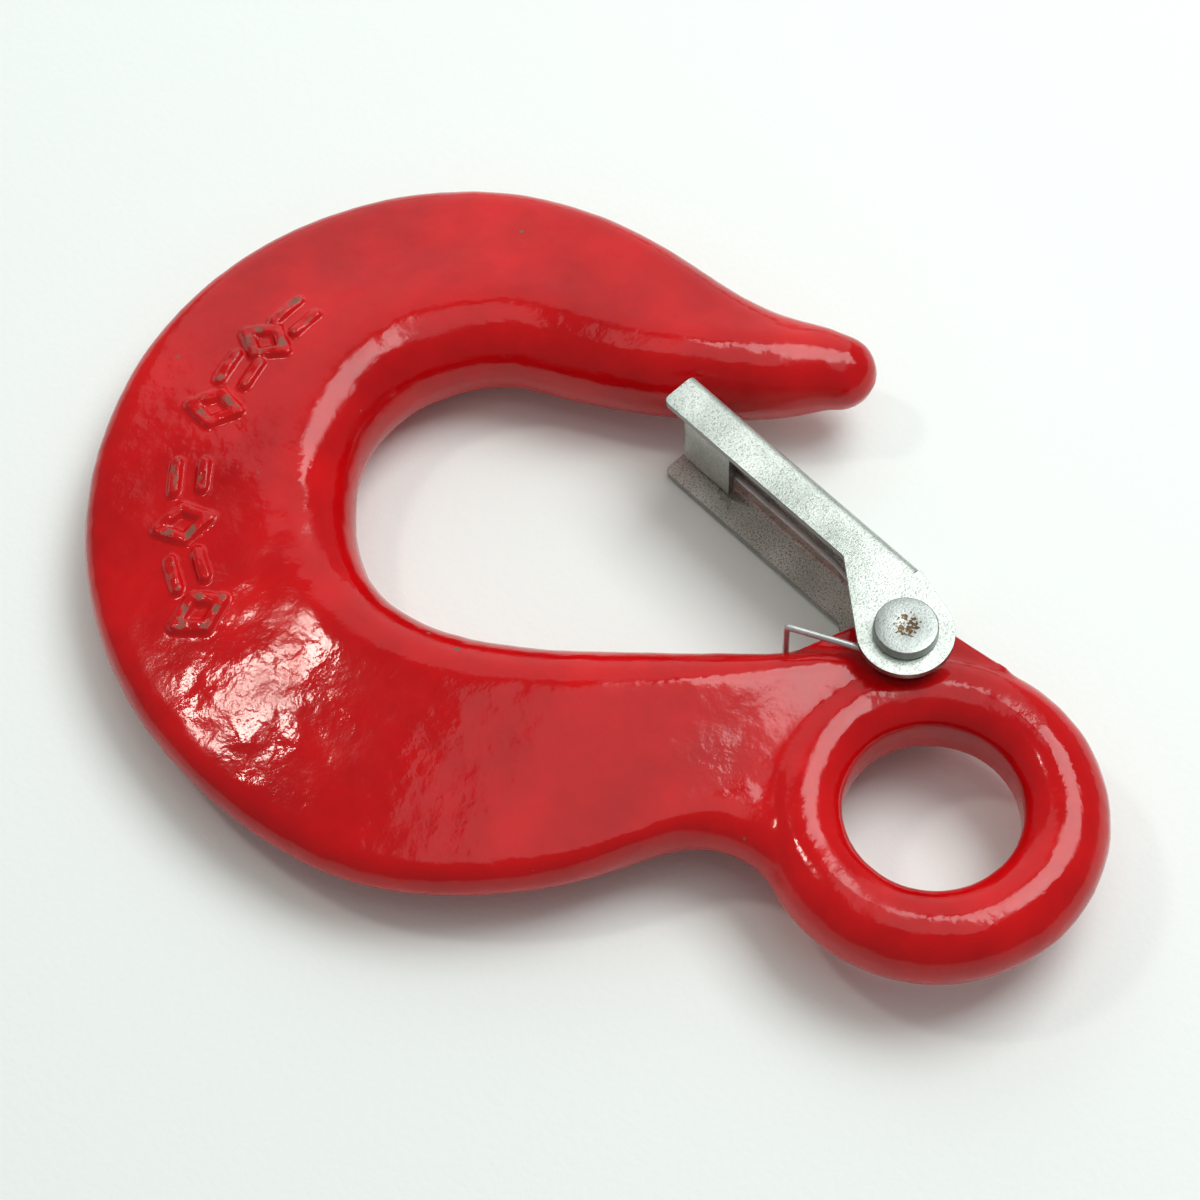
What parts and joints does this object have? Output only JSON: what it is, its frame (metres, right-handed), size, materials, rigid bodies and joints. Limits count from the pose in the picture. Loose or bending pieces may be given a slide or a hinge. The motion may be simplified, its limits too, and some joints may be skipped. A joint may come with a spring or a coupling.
{
  "type": "eye slip hook with safety latch",
  "caption": "Forged eye hook with a spring-loaded sheet-metal latch, painted red, for a safety or tow chain.",
  "frame": {"origin": "centre of the eye's bore, on the hook's mid-plane", "axes": "+Y along the load line from the bowl to the eye, +Z along the eye's bore, square to the hook's flat side; the point and the latch are on the -X side"},
  "size_m": [0.1219, 0.1709, 0.0252],
  "materials": {
    "forging": "gloss red enamel over a drop-forged surface",
    "latch": "bright zinc-plated sheet steel",
    "rivet": "zinc-plated steel with a peened head",
    "spring": "drawn spring wire"
  },
  "bodies": {
    "hook": {"hook_forging": "forging", "rivet": "rivet", "latch_spring": "spring"},
    "latch": {"latch": "latch"}
  },
  "joints": [
    {"name": "latch_hinge", "type": "hinge", "parent": "hook", "child": "latch", "pos_m": [-0.017, -0.0183, 0], "axis": [0, 0, 1], "range_deg": [0, 42], "stiffness_Nm_per_rad": 0.03, "springref_deg": -57.3, "deforming": ["latch_spring"]}
  ]
}
